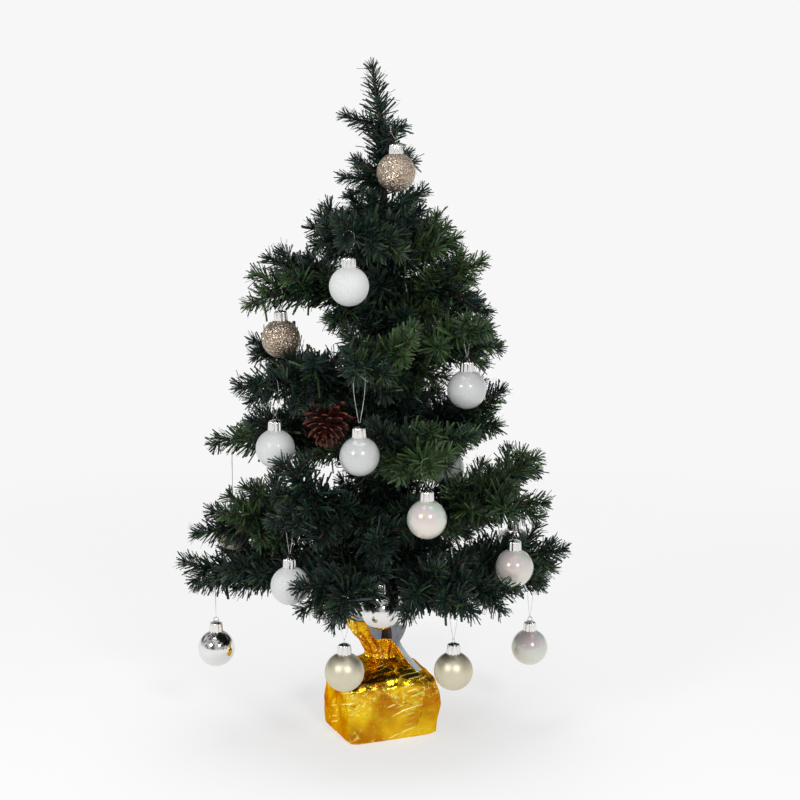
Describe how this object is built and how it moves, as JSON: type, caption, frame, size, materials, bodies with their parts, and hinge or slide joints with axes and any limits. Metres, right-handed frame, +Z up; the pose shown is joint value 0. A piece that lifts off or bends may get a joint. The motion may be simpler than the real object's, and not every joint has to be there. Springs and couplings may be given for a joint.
{
  "type": "artificial tabletop tree",
  "caption": "Small artificial conifer on a gold-foil-wrapped block, with bendable wire branches, hung ball ornaments in white, silver and champagne, and a pine cone.",
  "frame": {"origin": "on the surface that the tree stands on, under the trunk's axis", "axes": "+Z up along the trunk, front faces -Y, +X to the right of someone who looks at the front"},
  "size_m": [0.3093, 0.2709, 0.5384],
  "materials": {
    "plaster": "matt cast block, hidden inside the wrap",
    "gold_foil": "mirror-bright gold holographic film, crumpled, with a silver back",
    "trunk_tape": "dark brown tape wound round twisted wire",
    "needles": "cut film needles in a dark blue-green and a leaf green on twisted wire",
    "cone_brown": "dry reddish-brown scales with paler tips",
    "silver_cap": "silver-plated crown cap with a clear thread loop",
    "champagne_glitter": "coated in champagne glitter flakes",
    "snow_white": "matt white with fine flocked sparkle",
    "pearl_white": "pearl white with fine glitter specks",
    "satin_white": "satin white",
    "gloss_white": "gloss white",
    "iridescent": "clear-coated iridescent pearl",
    "chrome_silver": "mirror silver plating on a thin plastic ball",
    "satin_champagne": "satin metallic champagne silver"
  },
  "bodies": {
    "stand": {"base_block": "plaster", "foil_wrap": "gold_foil", "trunk": "trunk_tape"},
    "bauble_01": {"bauble_01_hanger": "silver_cap", "bauble_01_shell": "champagne_glitter"},
    "bauble_02": {"bauble_02_hanger": "silver_cap", "bauble_02_shell": "snow_white"},
    "bauble_03": {"bauble_03_hanger": "silver_cap", "bauble_03_shell": "champagne_glitter"},
    "bauble_04": {"bauble_04_hanger": "silver_cap", "bauble_04_shell": "pearl_white"},
    "bauble_05": {"bauble_05_hanger": "silver_cap", "bauble_05_shell": "satin_white"},
    "bauble_06": {"bauble_06_hanger": "silver_cap", "bauble_06_shell": "gloss_white"},
    "bauble_07": {"bauble_07_hanger": "silver_cap", "bauble_07_shell": "iridescent"},
    "bauble_08": {"bauble_08_hanger": "silver_cap", "bauble_08_shell": "iridescent"},
    "bauble_09": {"bauble_09_hanger": "silver_cap", "bauble_09_shell": "snow_white"},
    "bauble_10": {"bauble_10_hanger": "silver_cap", "bauble_10_shell": "chrome_silver"},
    "bauble_11": {"bauble_11_hanger": "silver_cap", "bauble_11_shell": "chrome_silver"},
    "bauble_12": {"bauble_12_hanger": "silver_cap", "bauble_12_shell": "satin_champagne"},
    "bauble_13": {"bauble_13_hanger": "silver_cap", "bauble_13_shell": "satin_champagne"},
    "bauble_14": {"bauble_14_hanger": "silver_cap", "bauble_14_shell": "iridescent"},
    "bauble_15": {"bauble_15_hanger": "silver_cap", "bauble_15_shell": "chrome_silver"},
    "bauble_16": {"bauble_16_hanger": "silver_cap", "bauble_16_shell": "gloss_white"},
    "bauble_17": {"bauble_17_hanger": "silver_cap", "bauble_17_shell": "champagne_glitter"},
    "branch_a_front": {"branch_a_front": "needles"},
    "branch_a_left": {"branch_a_left": "needles"},
    "branch_a_right": {"branch_a_right": "needles"},
    "branch_b_back": {"branch_b_back": "needles"},
    "branch_b_left": {"branch_b_left": "needles"},
    "branch_b_right": {"branch_b_right": "needles"},
    "branch_c_front": {"branch_c_front": "needles"},
    "branch_c_front_left": {"branch_c_front_left": "needles", "pine_cone": "cone_brown"},
    "branch_c_right": {"branch_c_right": "needles"},
    "branch_d_back": {"branch_d_back": "needles"},
    "branch_d_front": {"branch_d_front": "needles"},
    "branch_d_left": {"branch_d_left": "needles"},
    "branch_d_right": {"branch_d_right": "needles"},
    "branch_e_front_left": {"branch_e_front_left": "needles"},
    "branch_e_left": {"branch_e_left": "needles"},
    "branch_e_right": {"branch_e_right": "needles"},
    "branch_f_back": {"branch_f_back": "needles"},
    "branch_f_front_left": {"branch_f_front_left": "needles"},
    "branch_f_front_right": {"branch_f_front_right": "needles"},
    "branch_f_left": {"branch_f_left": "needles"},
    "branch_f_right": {"branch_f_right": "needles"},
    "top_leader": {"top_leader": "needles"}
  },
  "joints": [
    {"name": "top_leader_bend", "type": "hinge", "parent": "stand", "child": "top_leader", "pos_m": [0, 0, 0.432], "axis": [0, 1, 0], "range_deg": [-16, 22]},
    {"name": "branch_a_left_bend", "type": "hinge", "parent": "stand", "child": "branch_a_left", "pos_m": [-0.00462, -0.00136, 0.388], "axis": [-0.2822, 0.9594, 0], "range_deg": [-16, 22]},
    {"name": "branch_a_right_bend", "type": "hinge", "parent": "stand", "child": "branch_a_right", "pos_m": [0.00466, -0.00131, 0.384], "axis": [-0.2707, -0.9627, 0], "range_deg": [-16, 22]},
    {"name": "branch_a_front_bend", "type": "hinge", "parent": "stand", "child": "branch_a_front", "pos_m": [-0.00151, -0.00454, 0.394], "axis": [-0.9487, 0.3162, 0], "range_deg": [-16, 22]},
    {"name": "branch_b_left_bend", "type": "hinge", "parent": "stand", "child": "branch_b_left", "pos_m": [-0.00453, -0.00227, 0.34], "axis": [-0.4472, 0.8944, 0], "range_deg": [-11, 22]},
    {"name": "branch_b_right_bend", "type": "hinge", "parent": "stand", "child": "branch_b_right", "pos_m": [0.00505, -0.00076, 0.334], "axis": [-0.1483, -0.9889, 0], "range_deg": [-16, 16]},
    {"name": "branch_b_back_bend", "type": "hinge", "parent": "stand", "child": "branch_b_back", "pos_m": [0.00041, 0.00515, 0.322], "axis": [0.9968, -0.0797, 0], "range_deg": [-16, 22]},
    {"name": "branch_c_front_left_bend", "type": "hinge", "parent": "stand", "child": "branch_c_front_left", "pos_m": [-0.0041, -0.00339, 0.292], "axis": [-0.6369, 0.771, 0], "range_deg": [-16, 22]},
    {"name": "branch_c_front_bend", "type": "hinge", "parent": "stand", "child": "branch_c_front", "pos_m": [-0.00085, -0.00528, 0.286], "axis": [-0.9874, 0.158, 0], "range_deg": [-16, 22]},
    {"name": "branch_c_right_bend", "type": "hinge", "parent": "stand", "child": "branch_c_right", "pos_m": [0.00378, -0.00378, 0.288], "axis": [-0.7071, -0.7071, 0], "range_deg": [-16, 22]},
    {"name": "branch_d_left_bend", "type": "hinge", "parent": "stand", "child": "branch_d_left", "pos_m": [-0.00567, 0, 0.226], "axis": [0, 1, 0], "range_deg": [-3, 22]},
    {"name": "branch_d_right_bend", "type": "hinge", "parent": "stand", "child": "branch_d_right", "pos_m": [0.00568, 0.00025, 0.222], "axis": [0.0434, -0.9991, 0], "range_deg": [-16, 22]},
    {"name": "branch_d_front_bend", "type": "hinge", "parent": "stand", "child": "branch_d_front", "pos_m": [0.00142, -0.00546, 0.23], "axis": [-0.968, -0.251, 0], "range_deg": [-16, 11]},
    {"name": "branch_d_back_bend", "type": "hinge", "parent": "stand", "child": "branch_d_back", "pos_m": [-0.00092, 0.00554, 0.236], "axis": [0.9864, 0.1644, 0], "range_deg": [-16, 22]},
    {"name": "branch_e_left_bend", "type": "hinge", "parent": "stand", "child": "branch_e_left", "pos_m": [-0.00584, -0.001, 0.176], "axis": [-0.169, 0.9856, 0], "range_deg": [-8, 22]},
    {"name": "branch_e_right_bend", "type": "hinge", "parent": "stand", "child": "branch_e_right", "pos_m": [0.00528, -0.00274, 0.172], "axis": [-0.4614, -0.8872, 0], "range_deg": [-11, 22]},
    {"name": "branch_e_front_left_bend", "type": "hinge", "parent": "stand", "child": "branch_e_front_left", "pos_m": [-0.00361, -0.00466, 0.182], "axis": [-0.7913, 0.6114, 0], "range_deg": [-6, 7]},
    {"name": "branch_f_left_bend", "type": "hinge", "parent": "stand", "child": "branch_f_left", "pos_m": [-0.00612, -0.00082, 0.128], "axis": [-0.1322, 0.9912, 0], "range_deg": [-16, 17]},
    {"name": "branch_f_right_bend", "type": "hinge", "parent": "stand", "child": "branch_f_right", "pos_m": [0.00619, -0.00041, 0.124], "axis": [-0.0665, -0.9978, 0], "range_deg": [-16, 1]},
    {"name": "branch_f_front_left_bend", "type": "hinge", "parent": "stand", "child": "branch_f_front_left", "pos_m": [-0.00211, -0.00577, 0.134], "axis": [-0.9393, 0.3432, 0], "range_deg": [-6, 22]},
    {"name": "branch_f_front_right_bend", "type": "hinge", "parent": "stand", "child": "branch_f_front_right", "pos_m": [0.00311, -0.00533, 0.13], "axis": [-0.8638, -0.5039, 0], "range_deg": [-16, 22]},
    {"name": "branch_f_back_bend", "type": "hinge", "parent": "stand", "child": "branch_f_back", "pos_m": [0.0002, 0.00612, 0.138], "axis": [0.9995, -0.0322, 0], "range_deg": [-16, 22]},
    {"name": "bauble_01_swing", "type": "hinge", "parent": "top_leader", "child": "bauble_01", "pos_m": [0.008, -0.028, 0.49], "axis": [0.3825, -0.9239, 0], "range_deg": [-26, 26]},
    {"name": "bauble_02_swing", "type": "hinge", "parent": "branch_a_front", "child": "bauble_02", "pos_m": [-0.027, -0.08, 0.412], "axis": [-0.2816, -0.9595, 0], "range_deg": [-26, 26]},
    {"name": "bauble_03_swing", "type": "hinge", "parent": "branch_b_left", "child": "bauble_03", "pos_m": [-0.081, -0.04, 0.366], "axis": [-0.9116, -0.4112, 0], "range_deg": [-17, 26]},
    {"name": "bauble_04_swing", "type": "hinge", "parent": "branch_c_right", "child": "bauble_04", "pos_m": [0.062, -0.062, 0.338], "axis": [0.7236, -0.6903, 0], "range_deg": [-26, 26]},
    {"name": "bauble_05_swing", "type": "hinge", "parent": "branch_c_front_left", "child": "bauble_05", "pos_m": [-0.084, -0.072, 0.3], "axis": [-0.7638, -0.6454, 0], "range_deg": [-26, 11]},
    {"name": "bauble_06_swing", "type": "hinge", "parent": "branch_c_front", "child": "bauble_06", "pos_m": [-0.019, -0.11, 0.318], "axis": [-0.1816, -0.9834, 0], "range_deg": [-26, 26]},
    {"name": "bauble_07_swing", "type": "hinge", "parent": "branch_d_front", "child": "bauble_07", "pos_m": [0.031, -0.11, 0.246], "axis": [0.2521, -0.9677, 0], "range_deg": [-26, 26]},
    {"name": "bauble_08_swing", "type": "hinge", "parent": "branch_e_right", "child": "bauble_08", "pos_m": [0.1, -0.06, 0.204], "axis": [0.8416, -0.5402, 0], "range_deg": [-11, 9]},
    {"name": "bauble_09_swing", "type": "hinge", "parent": "branch_e_front_left", "child": "bauble_09", "pos_m": [-0.073, -0.086, 0.2], "axis": [-0.6954, -0.7186, 0], "range_deg": [-16, 5]},
    {"name": "bauble_10_swing", "type": "hinge", "parent": "branch_e_front_left", "child": "bauble_10", "pos_m": [-0.004, -0.075, 0.178], "axis": [0.2883, -0.9576, 0], "range_deg": [-13, 22]},
    {"name": "bauble_11_swing", "type": "hinge", "parent": "branch_f_left", "child": "bauble_11", "pos_m": [-0.138, -0.014, 0.14], "axis": [-0.9984, -0.0563, 0], "range_deg": [-26, 26]},
    {"name": "bauble_12_swing", "type": "hinge", "parent": "branch_f_front_left", "child": "bauble_12", "pos_m": [-0.031, -0.112, 0.141], "axis": [-0.1648, -0.9863, 0], "range_deg": [-26, 26]},
    {"name": "bauble_13_swing", "type": "hinge", "parent": "branch_f_front_right", "child": "bauble_13", "pos_m": [0.052, -0.092, 0.138], "axis": [0.4765, -0.8792, 0], "range_deg": [-26, 26]},
    {"name": "bauble_14_swing", "type": "hinge", "parent": "branch_f_right", "child": "bauble_14", "pos_m": [0.118, 0.01, 0.132], "axis": [0.9364, 0.3508, 0], "range_deg": [-26, 26]},
    {"name": "bauble_15_swing", "type": "hinge", "parent": "branch_e_right", "child": "bauble_15", "pos_m": [0.105, 0.024, 0.21], "axis": [0.879, 0.4768, 0], "range_deg": [-5, 7]},
    {"name": "bauble_16_swing", "type": "hinge", "parent": "branch_d_right", "child": "bauble_16", "pos_m": [0.049, 0.029, 0.262], "axis": [0.6117, 0.7911, 0], "range_deg": [-26, 26]},
    {"name": "bauble_17_swing", "type": "hinge", "parent": "branch_d_left", "child": "bauble_17", "pos_m": [-0.125, 0.008, 0.241], "axis": [-0.9949, 0.1011, 0], "range_deg": [-18, 9]}
  ]
}
